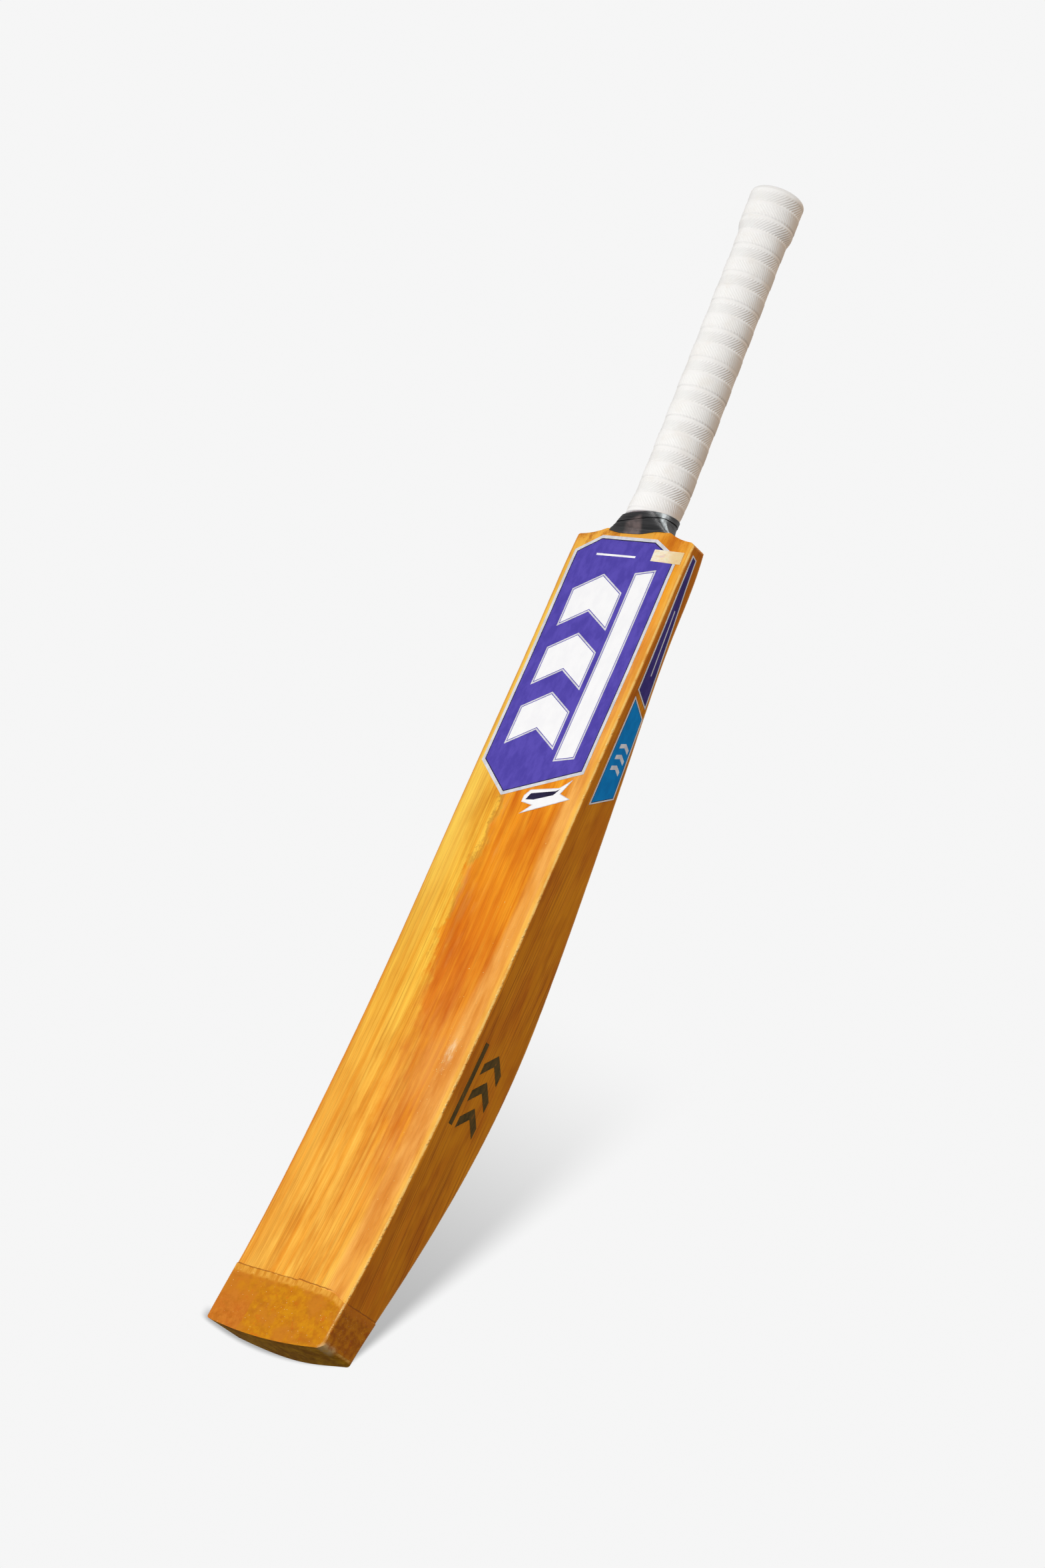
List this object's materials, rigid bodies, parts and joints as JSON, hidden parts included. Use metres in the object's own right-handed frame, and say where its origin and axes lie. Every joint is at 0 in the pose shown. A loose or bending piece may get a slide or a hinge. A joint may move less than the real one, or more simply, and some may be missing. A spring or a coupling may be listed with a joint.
{
  "type": "cricket bat",
  "caption": "Long-blade willow cricket bat with thick edges, a spliced cane handle, a ribbed white rubber grip, black neck tape, a resin toe guard and plain stickers.",
  "frame": {"origin": "under the middle of the bat's width and depth, at the lowest point of the toe", "axes": "+Z from the toe to the butt, -Y out of the hitting face, +X to the right as one looks at the face"},
  "size_m": [0.1062, 0.0966, 0.8601],
  "materials": {
    "willow": "gloss varnish",
    "cane": "bare end grain",
    "spring_rubber": "matt",
    "twine": "waxed",
    "grip_rubber": "soft matt, ribbed",
    "black_tape": "gloss",
    "toe_resin": "clear amber gloss",
    "violet_sticker": "gloss film",
    "cyan_sticker": "gloss film",
    "white_sticker": "gloss film",
    "foil": "holographic foil",
    "transfer_ink": "thin worn ink"
  },
  "bodies": {
    "root": {"back_sticker": "violet_sticker", "blade": "willow", "cane_strip_01": "cane", "cane_strip_02": "cane", "cane_strip_03": "cane", "cane_strip_04": "cane", "cane_strip_05": "cane", "cane_strip_06": "cane", "cane_strip_07": "cane", "cane_strip_08": "cane", "cane_strip_09": "cane", "cane_strip_10": "cane", "cane_strip_11": "cane", "cane_strip_12": "cane", "edge_sticker_lower_left": "cyan_sticker", "edge_sticker_lower_right": "cyan_sticker", "edge_sticker_upper_left": "violet_sticker", "edge_sticker_upper_right": "violet_sticker", "edge_transfer_left": "transfer_ink", "edge_transfer_right": "transfer_ink", "face_sticker": "violet_sticker", "flash_sticker": "white_sticker", "foil_label": "foil", "grip": "grip_rubber", "handle_binding": "twine", "neck_tape_lower": "black_tape", "neck_tape_upper": "black_tape", "rubber_spring_back": "spring_rubber", "rubber_spring_front": "spring_rubber", "toe_guard": "toe_resin"}
  },
  "joints": []
}
